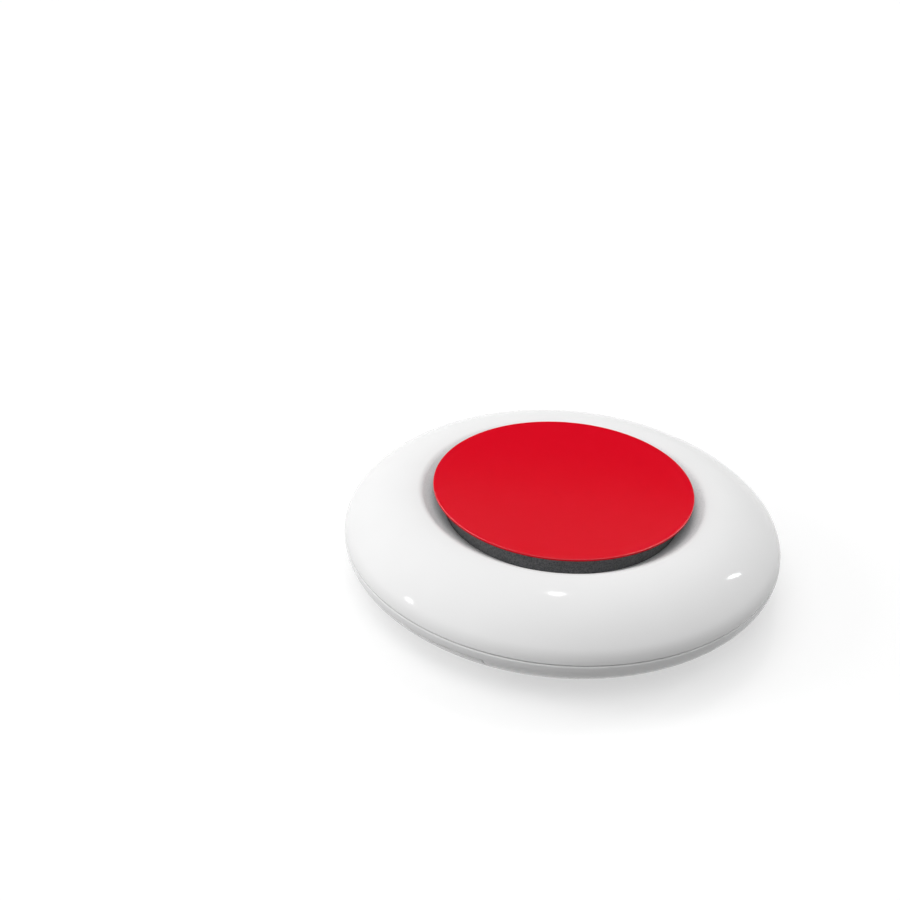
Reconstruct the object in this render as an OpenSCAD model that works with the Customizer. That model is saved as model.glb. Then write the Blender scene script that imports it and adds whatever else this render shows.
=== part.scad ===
// Wireless emergency call button: a round two-shell puck with a large red press disc
// and a sliding battery cover underneath. It rests on the flat of that cover.
// Origin at the centre of the rest face, +Z up; the cover slides off towards -Y.
// Heights stack up from the cover through the cell, the board and the switch to the disc.

/* [Body] */
// Diameter of the body at its widest circle
body_d = 80; // [74:0.5:90]
// Wall of both shells
wall = 1.8; // [1.4:0.1:2]
// Height of the seam between the shells above the widest circle
seam_rise = 0.5; // [0.3:0.1:0.8]
// Gap of the seam between the shells
seam_gap = 0.25; // [0.1:0.05:0.4]
// Small bevel on both lips of the seam
lip_bevel = 0.25; // [0.1:0.05:0.4]
// Height of the tongue that locates the shells
tongue_h = 1.2; // [0.8:0.1:1.5]
// Thickness of the tongue that locates the shells
tongue_t = 1; // [0.8:0.1:1.2]
// Gap between the tongue and its rebate
tongue_gap = 0.1; // [0.05:0.05:0.2]

/* [Top shell] */
// Radius of the rolled edge of the top shell
top_edge_r = 4.1; // [3.6:0.1:4.6]
// Distance of the level crest in from the widest circle
crest_in = 11.9; // [11:0.1:13.3]
// Width of the level crest round the dish
crest_w = 1.2; // [0.8:0.1:1.4]
// Radius of the roll from the crest into the cone of the dish
lip_r = 2; // [1.7:0.1:2.3]
// Depth of the dish below the crown
dish_depth = 2.8; // [2.5:0.1:3.1]

/* [Button] */
// Distance of the disc's rim in from the edge of the dish
cap_in = 3.2; // [2.8:0.1:3.6]
// Thickness of the red press disc
cap_t = 0.9; // [0.8:0.1:1.2]
// Height of the top of the disc above the crown
cap_proud = 1.6; // [1.4:0.1:1.8]
// Adhesive film under the disc
film_t = 0.15; // [0.1:0.05:0.25]
// Overhang of the disc past the grey skirt
cap_lap = 2.2; // [2:0.1:2.5]
// Wall of the skirt and thickness of its top plate
skirt_t = 1.5; // [1.2:0.1:1.8]
// Running gap between the skirt and the hole in the top shell
skirt_gap = 0.3; // [0.15:0.05:0.4]
// Reach of the flange that holds the skirt in the shell
flange_w = 1.3; // [1:0.1:1.5]
// Thickness of that flange
flange_t = 0.95; // [0.8:0.05:1.1]
// Width of the keys that stop the button from turning
key_w = 1.6; // [1.2:0.1:2]
// Height of the pusher under the skirt's top plate
pusher_h = 0.6; // [0.4:0.1:1]
// Travel of the button
press_travel = 1.2; // [0.8:0.1:1.4]
// Travel of the switch stem at the end of the press
stem_travel = 0.3; // [0.2:0.05:0.35]

/* [Bottom shell] */
// Radius of the rolled edge of the bottom shell
low_edge_r = 4.2; // [3.7:0.1:4.7]
// Distance of the level belly in from the widest circle
belly_in = 12.3; // [11.5:0.1:13.7]
// Height of the cover's inside face above the level of the belly
belly_sink = 0.1; // [0.05:0.05:0.2]
// Thickness of the floor over the battery cover
floor_t = 1.4; // [1.2:0.1:1.6]
// Gap between the cover plate and the floor
floor_gap = 0.2; // [0.15:0.05:0.3]
// Thickness of the wall behind the door of the cover
seat_t = 1.2; // [1:0.1:1.4]

/* [Battery cover] */
// Reach of the cover's disc past the circle where the belly is level
disc_out = 2.5; // [2.2:0.1:2.8]
// Width of the sloped edge of the disc
slope_w = 2.2; // [1.9:0.1:2.5]
// Thickness of the cover disc
plate_t = 1.6; // [1.4:0.05:1.8]
// Gap between the foot of the disc and the lip of the shell
disc_gap = 0.2; // [0.15:0.05:0.4]
// Rounding of the edge of the rest face
plate_round = 1.2; // [0.8:0.1:1.4]
// Distance of the door's seams in from the edge of the disc
door_in = 11.7; // [10.9:0.1:12.5]
// Thickness of the door
door_t = 1.6; // [1.4:0.1:1.8]
// Height of the door's edge below the widest circle
door_drop = 1.5; // [1.2:0.1:2]
// Gap of the door's seams
door_gap = 0.2; // [0.15:0.05:0.3]
// Width of the spring finger between its slits
finger_w = 9.6; // [8:0.1:11]
// Distance of the finger's free end from the centre
finger_end = 12.6; // [11:0.1:14.2]
// Distance of the finger's root from the centre
finger_root = 1.9; // [1:0.1:3]
// Width of the slit round the finger
slit_w = 0.65; // [0.5:0.05:0.8]
// Radius of the slit's corners
slit_r = 1.6; // [1.2:0.1:2]
// Length of each hook slot
slot_l = 4.2; // [3.5:0.1:5]
// Width of each hook slot
slot_w = 2.5; // [2:0.1:3]
// Distance of the hook slots in from the edge of the disc
slot_in = 6.9; // [6.3:0.1:7.6]

/* [Hooks of the cover] */
// Distance of the hooks' legs in from the door's seams
hook_in = 2.9; // [2.6:0.1:3.2]
// Thickness of a hook's leg
hook_t = 1; // [0.9:0.1:1.1]
// Reach of a hook over its keeper
hook_reach = 1.4; // [1.2:0.1:1.5]
// Thickness of a hook's tip
hook_h = 0.6; // [0.5:0.05:0.65]
// Length of a hook along the slide
hook_l = 6; // [5:0.5:6.5]
// Distance of the front hooks from the centre along Y
hook_front = 8; // [7:0.5:9]
// Distance of the back hooks from the centre along Y
hook_back = 14; // [13:0.5:15]
// Running gap round the hooks in their tracks
track_gap = 0.3; // [0.2:0.05:0.35]
// Running gap between the hooks and the keepers that hold them
keeper_gap = 0.15; // [0.1:0.05:0.2]

/* [Battery] */
// Diameter of the coin cell
cell_d = 24.5; // [20:0.1:25]
// Thickness of the coin cell
cell_t = 5; // [4.4:0.1:5.6]
// Gap between the cell and the cover under it
cell_gap = 0.15; // [0.1:0.05:0.2]
// Gap round the cell in its bay
bay_gap = 0.3; // [0.2:0.05:0.4]
// Wall of the battery bay
bay_t = 1.2; // [1:0.1:1.3]
// Room above the cell for its contact
contact_room = 1.45; // [1.3:0.05:1.7]
// Sheet of both contacts
contact_t = 0.3; // [0.25:0.05:0.35]

/* [Circuit board] */
// Distance of the board's edge in from the widest circle
board_in = 6; // [5:0.5:7]
// Thickness of the circuit board
board_t = 1.2; // [1:0.1:1.6]
// Side of the push switch
switch_w = 6; // [5.5:0.1:6.6]
// Height of the push switch without its stem
switch_h = 3.5; // [3:0.1:4]
// Diameter of the switch stem
stem_d = 3.5; // [3:0.1:3.9]
// Height of the stem above the switch
stem_h = 1.5; // [1.3:0.1:1.7]
// Width of the radio module
radio_w = 10; // [9:0.5:10.5]
// Length of the radio module
radio_l = 11; // [10:0.5:12]
// Thickness of the radio module's board
radio_t = 0.8; // [0.6:0.1:1]
// Height of the radio module's screening can
can_h = 1.8; // [1.5:0.1:2]
// Side of the controller chip
chip_w = 5; // [4:0.5:6]
// Height of the antenna wire's middle above the board
antenna_h = 1.8; // [1.5:0.1:2]
// Diameter of the antenna wire
antenna_d = 0.8; // [0.6:0.1:1]

/* [Screws and springs] */
// Diameter of the shell screws
screw_d = 2; // [1.8:0.1:2.2]
// Length of the shell screws under the head
shaft_l = 9; // [8:0.5:10]
// Angle of the shell screws from the X axis
screw_turn = 32.5; // [31:0.5:35]
// Wall of the bosses that the shell screws hold
boss_t = 1.35; // [1.2:0.05:1.4]
// Diameter of the board screws
board_screw_d = 1.8; // [1.6:0.1:2]
// Length of the board screws under the head
board_screw_l = 4; // [3.5:0.5:4.5]
// Outer diameter of the springs
spring_d = 5; // [4.6:0.1:5.2]
// Wire of the springs
wire_d = 0.5; // [0.4:0.05:0.6]
// Turns of each spring
spring_turns = 4; // [3:1:5]

/* [Hidden] */
$fn = 96;

// steps in an arc, a fit that only needs to clear, a lap that fuses two forms, and a long cut
steps = 12;
slack = 0.05;
fuse = 0.1;
far = 200;

// heights, stacked from the rest face up
floor_z = plate_t + floor_gap;
floor_top = floor_z + floor_t;
belly_z = plate_t - belly_sink;
cell_z = plate_t + cell_gap;
cell_top = cell_z + cell_t;
board_z = cell_top + contact_room;
board_top = board_z + board_t;
waist_z = board_top;
seam_z = waist_z + seam_rise;
door_z = waist_z - door_drop;
switch_top = board_top + switch_h;
stem_top = switch_top + stem_h;
pusher_z = stem_top + press_travel - stem_travel + slack;
plate_z = pusher_z + pusher_h;
film_z = plate_z + skirt_t;
cap_z = film_z + film_t + cap_t;
crest_z = cap_z - cap_proud;
dish_z = crest_z - dish_depth;
collar_z = dish_z - wall;
flange_z = collar_z - slack - flange_t;

// radii, from the widest circle in
body_r = body_d / 2;
crest_r = body_r - crest_in;
dish_r = crest_r - crest_w;
cap_r = dish_r - cap_in;
skirt_r = cap_r - cap_lap;
hole_r = skirt_r + skirt_gap;
flange_r = skirt_r + flange_w;
belly_r = body_r - belly_in;
disc_r = belly_r + disc_out;
rest_r = disc_r - slope_w;
opening_r = disc_r + disc_gap;
board_r = body_r - board_in;
tongue_r = body_r - wall / 2 - lip_bevel - tongue_gap;

// radius of the big arc that rolls on from an edge of radius e, d further in, to a level line h away
function big_r(e, d, h) = (h * h + d * d - e * e) / (2 * (h - e));
top_crown_r = big_r(top_edge_r, crest_in - top_edge_r, crest_z - waist_z);
low_crown_r = big_r(low_edge_r, belly_in - low_edge_r, waist_z - belly_z);

// centres of the two big arcs, and the angles at which they meet the edges
top_drop = top_crown_r - crest_z + waist_z;
top_blend = atan2(top_drop, crest_in - top_edge_r);
low_drop = low_crown_r - waist_z + belly_z;
low_blend = atan2(low_drop, belly_in - low_edge_r);

// slope of the dish: a cone from the edge of the hole that meets the roll smoothly
dish_run = [dish_r - hole_r, dish_depth - lip_r];
dish_turn = atan2(dish_run[1], dish_run[0]) + asin(lip_r / norm(dish_run));

// the door and the hook slots of the cover
door_w = 2 * (disc_r - door_in);
seat_depth = door_t + door_gap;
seat_r = belly_r - 2;
slope_turn = atan2(plate_t, slope_w);
slot_at = disc_r - slot_in;

// the cover's side hooks and the tracks that they run in
hook_x = door_w / 2 - hook_in;
hook_top = floor_top - slack;
hooks_y = [-hook_back, hook_front];
track_in = hook_x - track_gap;
track_out = hook_x + hook_t + hook_reach + track_gap;
roof_z = hook_top + keeper_gap;

// shell screws, outside the flange of the button
head_r = 2;
head_h = 1.3;
head_z = floor_z + 1.8;
boss_r = screw_d / 2 + slack + boss_t;
boss_split = board_z - 0.2;
screw_at = flange_r + 0.5 + boss_r;
screw_x = screw_at * cos(screw_turn);
screw_y = screw_at * sin(screw_turn);

// board screws
post_r = board_screw_d / 2 + slack + 1.45;
post_turns = [-90, 60, 120];
post_at = board_r - 7;
board_head_r = 1.7;

// springs, on posts that stand inside the skirt
spring_z = board_top + 0.3;
spring_post_r = spring_d / 2 + 0.4;
spring_pin_r = spring_d / 2 - wire_d - 0.3;
spring_pin_h = 1.4;
spring_at = (skirt_r - skirt_t - spring_post_r - 0.5) * cos(45);

// small forms of the shells, the cover and the skirt
groove_r = 0.75;
roof_t = 1.1;
slot_room = 0.5;
slot_deep = 1;
keeper_h = hook_top - hook_h - keeper_gap - slack - floor_z;
rib_t = 1.2;
keys = 3;
key_in = 0.7;
key_gap = 0.25;

// battery bay, cell and contacts
bay_r = cell_d / 2 + bay_gap;
can_t = 0.3;
seal_t = 0.4;
leaf_w = 4;
leaf_bow = 1.2;
foot_l = 3;

// parts on the board
metal_t = 0.3;
stem_foot = switch_h / 2 + 0.15;
leg_l = 1.2;
leg_w = 0.8;
radio_y = switch_w / 2 + 3.2;
chip_y = -switch_w * 1.6;
chip_h = 0.9;
part_w = 1.6;

// points on an arc from angle a to angle b
function arc(c, r, a, b, n = steps) =
    [for (i = [0:n]) c + r * [cos(a + (b - a) * i / n), sin(a + (b - a) * i / n)]];

// half outline of the top shell from the waist to the hole, moved inwards by off
function top_outline(off) = concat(
    arc([body_r - top_edge_r, waist_z], top_edge_r - off, 0, top_blend),
    arc([crest_r, waist_z - top_drop], top_crown_r - off, top_blend, 90),
    arc([dish_r, crest_z - lip_r], max(lip_r - off, fuse), 90, 90 + dish_turn),
    [[hole_r, dish_z - off]]);

// half outline of the bottom shell from above the waist to the belly, moved inwards by off
function low_outline(off) = concat(
    arc([body_r - top_edge_r, waist_z], top_edge_r - off, 20, 3, 3),
    arc([body_r - low_edge_r, waist_z], low_edge_r - off, 0, -low_blend),
    arc([belly_r, waist_z + low_drop], low_crown_r - off, -low_blend, -90));

function reversed(p) = [for (i = [len(p) - 1:-1:0]) p[i]];

// skin of revolution between two offsets of the bottom outline
module low_skin(out, in) {
    rotate_extrude() polygon(concat(low_outline(out), reversed(low_outline(in))));
}

// everything inside one offset of the bottom outline
module low_solid(off) {
    p = low_outline(off);
    rotate_extrude() polygon(concat([[0, p[0][1]]], p, [[0, belly_z + off]]));
}

// everything inside one offset of the top outline, without the button hole
module top_solid(off) {
    p = top_outline(off);
    rotate_extrude() polygon(concat([[0, waist_z]], p, [[0, dish_z - off]]));
}

module ring(r_out, r_in, h) {
    difference() {
        cylinder(r = r_out, h = h);
        translate([0, 0, -1]) cylinder(r = r_in, h = h + 2);
    }
}

module each_corner(x, y) {
    for (sx = [-1, 1], sy = [-1, 1]) translate([sx * x, sy * y, 0]) children();
}

module each_post() {
    for (a = post_turns) rotate(a) translate([post_at, 0, 0]) children();
}

module each_key() {
    for (i = [0:keys - 1]) rotate(i * 360 / keys) children();
}

// the places of the three hook slots
module each_slot() {
    for (p = [[slot_at, 0], [-slot_at, 0], [0, slot_at]]) translate([p[0], p[1], 0]) children();
}

module both_sides() {
    children();
    mirror([1, 0, 0]) children();
}

// plate centred on its place in X and Y
module slab(w, l, h) {
    translate([-w / 2, -l / 2, 0]) cube([w, l, h]);
}

// block across the door's width, on its side of the centre
module door_block(w, z0, z1) {
    translate([-w / 2, -far, z0]) cube([w, far, z1 - z0]);
}

module top_shell() {
    key_low = flange_z - press_travel;
    color("white") difference() {
        union() {
            rotate_extrude() polygon(concat(top_outline(0), reversed(top_outline(wall))));
            // screw bosses
            intersection() {
                translate([0, 0, boss_split + slack]) each_corner(screw_x, screw_y)
                    cylinder(r = boss_r, h = far);
                top_solid(wall / 3);
            }
            // keys that stop the button from turning
            each_key() translate([flange_r - key_in, -key_w / 2, key_low])
                cube([key_in + flange_w, key_w, dish_z - fuse - key_low]);
        }
        // lower edge, with a rebate for the tongue of the bottom shell
        translate([0, 0, -1]) ring(far, body_r - wall * 2, seam_z + seam_gap / 2 + 1);
        translate([0, 0, waist_z - 1])
            cylinder(r = tongue_r + tongue_gap, h = seam_rise + tongue_h + tongue_gap * 2 + 1);
        rotate_extrude() translate([body_r, seam_z + seam_gap / 2]) circle(r = lip_bevel, $fn = 32);
        each_corner(screw_x, screw_y) translate([0, 0, boss_split - 1])
            cylinder(r = screw_d / 2 + slack, h = head_z + shaft_l + 0.5 - boss_split + 1);
    }
}

module red_cap() {
    lip = cap_t * 0.45;
    color("crimson") translate([0, 0, cap_z - cap_t]) rotate_extrude()
        polygon(concat([[0, 0]], arc([cap_r - lip, lip], lip, -90, 90), [[0, cap_t]]));
}

module cap_film() {
    color("gainsboro") translate([0, 0, film_z]) cylinder(r = skirt_r - 0.5, h = film_t);
}

module plunger() {
    pusher_r = stem_d / 2 + 0.8;
    color("dimgray") difference() {
        union() {
            translate([0, 0, flange_z]) ring(skirt_r, skirt_r - skirt_t, film_z - flange_z);
            translate([0, 0, flange_z]) ring(flange_r, skirt_r - skirt_t, flange_t);
            translate([0, 0, plate_z]) cylinder(r = skirt_r, h = skirt_t);
            // ribs under the plate, and the pusher over the switch
            for (a = [0:90:270]) rotate(a) translate([0, -rib_t / 2, plate_z - rib_t])
                cube([skirt_r - skirt_t / 2, rib_t, rib_t + fuse]);
            translate([0, 0, pusher_z]) cylinder(r = pusher_r, h = pusher_h + fuse);
            // pins that hold the springs
            each_corner(spring_at, spring_at) translate([0, 0, plate_z - spring_pin_h])
                cylinder(r = spring_pin_r, h = spring_pin_h + fuse);
        }
        // room for the switch stem between the ribs
        cylinder(r = pusher_r + 0.2, h = pusher_z);
        each_key() translate([flange_r - key_in - key_gap, -key_w / 2 - key_gap, flange_z - 1])
            cube([flange_w + key_in, key_w + 2 * key_gap, flange_t + 1 + slack]);
    }
}

module bottom_shell() {
    seat_top = belly_z + seat_depth + seat_t;
    track_w = track_out - track_in;
    track_l = hook_front + hook_l + track_gap;
    bay_wall_r = bay_r + bay_t;
    color("white") difference() {
        union() {
            low_skin(0, wall);
            intersection() {
                low_solid(wall / 3);
                translate([0, 0, floor_z]) cylinder(r = body_r, h = floor_t);
            }
            // tongue that locates the top shell
            translate([0, 0, waist_z - 1])
                ring(tongue_r, tongue_r - tongue_t, seam_rise - seam_gap / 2 + tongue_h + 1);
            // wall behind the door of the cover
            intersection() {
                union() {
                    low_skin(wall / 2, seat_depth + seat_t);
                    translate([0, 0, seat_top - seat_t]) ring(belly_r + 2 * fuse, seat_r - seat_t, seat_t);
                    translate([0, 0, floor_z]) ring(seat_r, seat_r - seat_t, seat_top - floor_z);
                }
                door_block(door_w + 2 * (door_gap + seat_t), 0, waist_z);
            }
            // roofs over the tracks of the cover's hooks
            both_sides() translate([track_in - roof_t, -seat_r + 2, floor_z])
                cube([track_w + 2 * roof_t, track_l + seat_r - 2 + roof_t, roof_z + roof_t - floor_z]);
            // boxes over the hook slots
            each_slot() translate([0, 0, floor_z])
                slab(slot_w + 2 * (slot_room + roof_t), slot_l + 2 * (slot_room + roof_t),
                    floor_t + slot_deep + roof_t);
            translate([0, 0, floor_z]) cylinder(r = bay_wall_r, h = cell_top - floor_z);
            each_corner(screw_x, screw_y) translate([0, 0, floor_z])
                cylinder(r = boss_r + roof_t, h = boss_split - floor_z);
            each_corner(spring_at, spring_at) translate([0, 0, floor_z]) {
                cylinder(r = spring_post_r, h = spring_z - floor_z);
                cylinder(r = spring_pin_r, h = spring_z - floor_z + spring_pin_h);
            }
            each_post() translate([0, 0, floor_z]) cylinder(r = post_r, h = board_z - floor_z);
        }
        // everything above the seam, except the tongue
        translate([0, 0, seam_z - seam_gap / 2]) ring(far, tongue_r, far);
        rotate_extrude() translate([body_r, seam_z - seam_gap / 2]) circle(r = lip_bevel, $fn = 32);
        // round opening for the cover disc, with a hollow round its lip
        translate([0, 0, -1]) cylinder(r = opening_r, h = floor_z + 1);
        rotate_extrude() translate([opening_r + fuse, belly_z + slack]) circle(r = groove_r, $fn = 48);
        // pocket for the door
        difference() {
            door_block(door_w + 2 * door_gap, -1, door_z + door_gap);
            low_solid(seat_depth);
            translate([0, 0, -2]) cylinder(r = seat_r, h = far);
        }
        // tracks for the cover's hooks, with the keepers left standing
        both_sides() difference() {
            translate([track_in, -far, floor_z - 1]) cube([track_w, far + track_l, roof_z + 1 - floor_z]);
            for (y = hooks_y) translate([hook_x + hook_t + keeper_gap, y, floor_z])
                cube([far, hook_l, keeper_h]);
        }
        each_slot() slab(slot_w + 2 * slot_room, slot_l + 2 * slot_room, floor_top + slot_deep);
        // battery bay, with a way through its wall for the side contact
        cylinder(r = bay_r, h = cell_top + bay_gap);
        translate([-bay_wall_r - 1, -leaf_w / 2 - 2 * bay_gap, floor_top + bay_gap])
            cube([bay_r, leaf_w + 4 * bay_gap, cell_top - floor_top]);
        each_corner(screw_x, screw_y) {
            cylinder(r = head_r + 0.3, h = head_z);
            cylinder(r = screw_d / 2 + 0.25, h = far);
        }
        each_post() translate([0, 0, board_top - board_screw_l - 0.5])
            cylinder(r = board_screw_d / 2 + slack, h = far);
    }
}

// outline of the spring finger, moved outwards by off
module finger_shape(off) {
    w = finger_w + 2 * off;
    r = slit_r + off;
    translate([-w / 2, -finger_root]) square([w, finger_end + finger_root + off - r]);
    translate([-w / 2 + r, -finger_root]) square([w - 2 * r, finger_end + finger_root + off]);
    for (s = [-1, 1]) translate([s * (w / 2 - r), finger_end + off - r]) circle(r = r, $fn = 48);
}

module battery_cover() {
    round_x = rest_r - plate_round * tan(slope_turn / 2);
    color("white") difference() {
        union() {
            rotate_extrude() polygon(concat([[0, 0]],
                arc([round_x, plate_round], plate_round, -90, slope_turn - 90, 6),
                [[disc_r, plate_t - slack], [disc_r, plate_t], [0, plate_t]]));
            intersection() {
                union() {
                    low_skin(0, door_t);
                    translate([0, 0, plate_t - slack]) ring(disc_r - fuse, belly_r - 1, door_t / 2);
                }
                door_block(door_w, 0, door_z);
            }
            // side hooks
            both_sides() for (y = hooks_y) {
                translate([hook_x, y, plate_t - fuse]) cube([hook_t, hook_l, hook_top - plate_t + fuse]);
                translate([hook_x, y, hook_top - hook_h]) cube([hook_t + hook_reach, hook_l, hook_h]);
            }
            // pad on the finger that steadies the cell
            translate([0, finger_end - 2 * slit_r, plate_t - fuse]) cylinder(r = finger_w / 5, h = 2 * fuse);
        }
        // slit round the finger
        translate([0, 0, -1]) linear_extrude(plate_t + 2) difference() {
            finger_shape(slit_w);
            finger_shape(0);
        }
        // thinned root of the finger, on the inside
        translate([0, -finger_root, plate_t - plate_t / 3]) slab(finger_w + 2 * slit_w, 2, plate_t);
        each_slot() translate([0, 0, -1]) slab(slot_w, slot_l, plate_t + 2);
    }
}

// screw with its head at the bottom and a cross recess in it
module pan_screw(d, l, r, h) {
    difference() {
        union() {
            cylinder(r = r, h = h);
            translate([0, 0, h]) cylinder(d = d, h = l - d / 2);
            translate([0, 0, h + l - d / 2]) cylinder(r1 = d / 2, r2 = d / 5, h = d / 2);
        }
        for (a = [0, 90]) rotate(a) translate([0, 0, -1]) slab(r * 1.2, r / 4, 1 + h / 2);
    }
}

module shell_screws() {
    color("silver") each_corner(screw_x, screw_y) translate([0, 0, head_z - head_h])
        pan_screw(screw_d, shaft_l, head_r, head_h);
}

module board_screws() {
    head = board_head_r * 0.6;
    color("silver") each_post() translate([0, 0, board_top + head]) mirror([0, 0, 1])
        pan_screw(board_screw_d, board_screw_l, board_head_r, head);
}

module circuit_board() {
    color("darkgreen") translate([0, 0, board_z]) difference() {
        cylinder(r = board_r, h = board_t);
        translate([0, 0, -1]) {
            each_corner(screw_x, screw_y) cylinder(r = boss_r + 0.4, h = board_t + 2);
            each_corner(spring_at, spring_at) cylinder(r = spring_post_r + 0.3, h = board_t + 2);
            each_post() cylinder(d = board_screw_d + 0.3, h = board_t + 2);
        }
    }
}

module switch_body() {
    color("black") translate([0, 0, board_top]) difference() {
        slab(switch_w, switch_w, switch_h - metal_t);
        translate([0, 0, stem_foot - stem_travel - 0.2]) cylinder(d = stem_d + 0.2, h = switch_h);
    }
}

module switch_plate() {
    color("silver") {
        translate([0, 0, switch_top - metal_t]) difference() {
            slab(switch_w, switch_w, metal_t);
            translate([0, 0, -1]) cylinder(d = stem_d + 0.3, h = 3);
        }
        // soldered legs
        each_corner(switch_w / 2 + leg_l / 2, switch_w / 2 - leg_w) translate([0, 0, board_top])
            slab(leg_l, leg_w, metal_t);
    }
}

module switch_stem() {
    foot = board_top + stem_foot;
    color("red") translate([0, 0, foot]) cylinder(d = stem_d, h = stem_top - foot);
}

// one unbroken coil of wire between two seats h apart
module coil(r, wire, turns, h) {
    sides = 6;
    per_turn = 12;
    rings = turns * per_turn;
    pts = [for (i = [0:rings], j = [0:sides - 1])
        let (a = 360 * i / per_turn, b = 360 * j / sides, q = r + wire / 2 * cos(b))
        [q * cos(a), q * sin(a), wire / 2 + (h - wire) * i / rings + wire / 2 * sin(b)]];
    walls = [for (i = [0:rings - 1], j = [0:sides - 1])
        let (a = i * sides + j, b = i * sides + (j + 1) % sides)
        each [[a, b + sides, b], [a, a + sides, b + sides]]];
    start = [for (j = [1:sides - 2]) [0, j, j + 1]];
    end = [for (j = [1:sides - 2]) [rings * sides, rings * sides + j + 1, rings * sides + j]];
    polyhedron(points = pts, faces = concat(walls, start, end));
}

module return_springs() {
    color("silver") each_corner(spring_at, spring_at) translate([0, 0, spring_z])
        coil((spring_d - wire_d) / 2, wire_d, spring_turns, plate_z - spring_z);
}

module cell_can() {
    color("silver") translate([0, 0, cell_z]) difference() {
        cylinder(d = cell_d, h = cell_t - can_t);
        translate([0, 0, can_t]) cylinder(d = cell_d - 2 * can_t, h = cell_t);
    }
}

module cell_seal() {
    seal_r = cell_d / 2 - can_t - slack;
    color("black") translate([0, 0, cell_z + can_t + slack])
        ring(seal_r, seal_r - seal_t, cell_t - can_t - slack - seal_t);
}

module cell_lid() {
    foot = can_t + 2 * slack;
    color("lightgray") translate([0, 0, cell_z + foot])
        cylinder(r = cell_d / 2 - foot - seal_t, h = cell_t - foot);
}

// leaf that bows in against the side of the cell, with a foot under the board
module contact_positive() {
    t = contact_t;
    x = -cell_d / 2 - slack;
    back = x - leaf_bow;
    mid = (cell_z + cell_top) / 2 + t;
    knee = board_z - 3 * t;
    color("gold") translate([0, leaf_w / 2, 0]) rotate([90, 0, 0]) linear_extrude(leaf_w) polygon([
        [back, floor_top + 0.5], [x, mid], [back, knee], [back, board_z - t],
        [back + foot_l, board_z - t], [back + foot_l, board_z], [back - t, board_z],
        [back - t, knee], [x - t, mid], [back - t, floor_top + 0.5]]);
}

// leaf that bends down from the board onto the top of the cell
module contact_negative() {
    t = contact_t;
    z = cell_top + slack;
    w = leaf_w * 1.25;
    pad = leaf_w / 2;
    rise = cell_d / 4;
    color("gold") translate([-w / 2, -pad * 1.5, 0]) rotate([90, 0, 90]) linear_extrude(w) polygon([
        [0, z], [pad, z], [pad + rise, board_z - t], [pad + rise + foot_l, board_z - t],
        [pad + rise + foot_l, board_z], [pad + rise - t, board_z], [pad, z + t], [0, z + t]]);
}

module radio_board() {
    color("seagreen") translate([-radio_w / 2, radio_y, board_top]) cube([radio_w, radio_l, radio_t]);
}

// can over all but the module's own antenna strip
module radio_can() {
    edge = radio_w / 20;
    strip = radio_l / 5;
    t = metal_t / 1.5;
    color("silver") translate([0, radio_y + (radio_l + strip - edge) / 2, board_top + radio_t]) difference() {
        slab(radio_w - 2 * edge, radio_l - strip - edge, can_h);
        translate([0, 0, -t]) slab(radio_w - 2 * edge - 2 * t, radio_l - strip - edge - 2 * t, can_h);
    }
}

module controller_chip() {
    color("black") translate([0, chip_y, board_top]) slab(chip_w, chip_w, chip_h);
}

module crystal() {
    color("silver") translate([0, chip_y - chip_w / 2 - part_w, board_top])
        slab(part_w * 2, part_w, part_w / 2);
}

module chip_capacitors() {
    color("tan") {
        for (i = [-1.5:1.5]) translate([-chip_w / 2 - part_w, chip_y + i * part_w, board_top])
            slab(part_w, part_w / 2, part_w / 2);
        for (s = [-1, 1]) translate([s * switch_w * 1.5, 0, board_top]) slab(part_w, part_w / 2, part_w / 2);
    }
}

module antenna_wire() {
    r = board_r - 3.5;
    sweep = 100;
    tuck = atan(antenna_d / 2 / r);
    color("goldenrod") {
        translate([0, 0, board_top + antenna_h]) rotate(90 - sweep / 2) rotate_extrude(angle = sweep)
            translate([r, 0]) circle(d = antenna_d, $fn = 24);
        for (s = [-1, 1]) rotate(90 + s * (sweep / 2 - tuck)) translate([r, 0, board_top])
            cylinder(d = antenna_d, h = antenna_h, $fn = 24);
    }
}

top_shell();
red_cap();
cap_film();
plunger();
bottom_shell();
battery_cover();
shell_screws();
circuit_board();
board_screws();
switch_body();
switch_plate();
switch_stem();
return_springs();
cell_can();
cell_seal();
cell_lid();
contact_positive();
contact_negative();
radio_board();
radio_can();
controller_chip();
crystal();
chip_capacitors();
antenna_wire();
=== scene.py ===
# Wireless emergency call button: glossy white shells, a red press disc over a dark grey skirt,
# and a sliding battery cover underneath. Sizes are in millimetres until a mesh is made.

import math

import bmesh
import bpy
from mathutils import Matrix, Vector


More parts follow.
